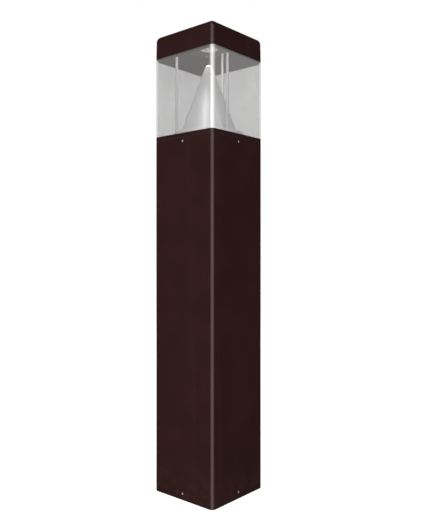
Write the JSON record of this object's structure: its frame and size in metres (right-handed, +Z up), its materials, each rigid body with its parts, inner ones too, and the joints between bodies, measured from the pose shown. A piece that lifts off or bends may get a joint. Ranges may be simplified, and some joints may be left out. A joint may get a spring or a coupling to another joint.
{
  "type": "bollard light",
  "caption": "Square bollard light: bronze coated shaft on a round mounting ring, with a lift-off lantern head, clear sleeve lens, cone reflector and downlight under a flat cap.",
  "frame": {"origin": "centre of the foot, on the ground", "axes": "+Z up along the shaft; -Y and +X are two neighbouring flat faces, which the picture shows as the left and the right face"},
  "size_m": [0.1806, 0.1806, 1.0668],
  "materials": {
    "cast_aluminium": "as cast, machined faces",
    "bronze_powder_coat": "dark bronze powder coat, satin, fine texture",
    "stainless": "satin stainless steel",
    "ground_green": "green dyed zinc",
    "black_rubber": "moulded, matt",
    "clear_acrylic": "clear, faintly grey",
    "spun_aluminium": "satin spun",
    "white_board": "solder mask",
    "phosphor": "silicone",
    "white_plastic": "moulded",
    "thermal_grey": "silicone pad",
    "zinc_sheet": "zinc plated sheet",
    "driver_case": "moulded case",
    "surge_case": "potted black case",
    "terminal_case": "orange nylon",
    "red_lead": "insulation",
    "black_lead": "insulation",
    "white_lead": "insulation"
  },
  "bodies": {
    "base": {"mounting_ring": "cast_aluminium", "ground_screw": "ground_green"},
    "shaft": {"shaft": "bronze_powder_coat", "base_set_screws": "stainless", "head_set_screws": "stainless"},
    "head": {"head_base": "bronze_powder_coat", "head_seal": "black_rubber", "lens_gasket": "black_rubber", "cap_gasket": "black_rubber", "lens": "clear_acrylic", "cap": "bronze_powder_coat", "ceiling_plate": "bronze_powder_coat", "ceiling_screws": "stainless", "thermal_pad": "thermal_grey", "led_board": "white_board", "led_emitter": "phosphor", "led_bezel": "white_plastic", "led_optic": "clear_acrylic", "led_screws": "stainless", "tie_rod_1": "stainless", "tie_rod_2": "stainless", "wire_tube": "stainless", "rod_washers": "stainless", "rod_nuts": "stainless", "reflector": "spun_aluminium", "reflector_screws": "stainless", "driver_bracket": "zinc_sheet", "bracket_screws": "stainless", "lead_grommet": "black_rubber", "led_driver": "driver_case", "driver_screws": "stainless", "surge_protector": "surge_case", "terminal_block": "terminal_case", "led_lead_plus": "red_lead", "led_lead_minus": "black_lead", "driver_leads": "white_lead", "surge_leads": "black_lead"}
  },
  "joints": [
    {"name": "shaft_turn", "type": "hinge", "parent": "base", "child": "shaft", "pos_m": [0, 0, 0], "axis": [0, 0, 1], "continuous": true},
    {"name": "head_lift", "type": "slide", "parent": "shaft", "child": "head", "axis": [0, 0, 1], "range_m": [0, 0.24]}
  ]
}
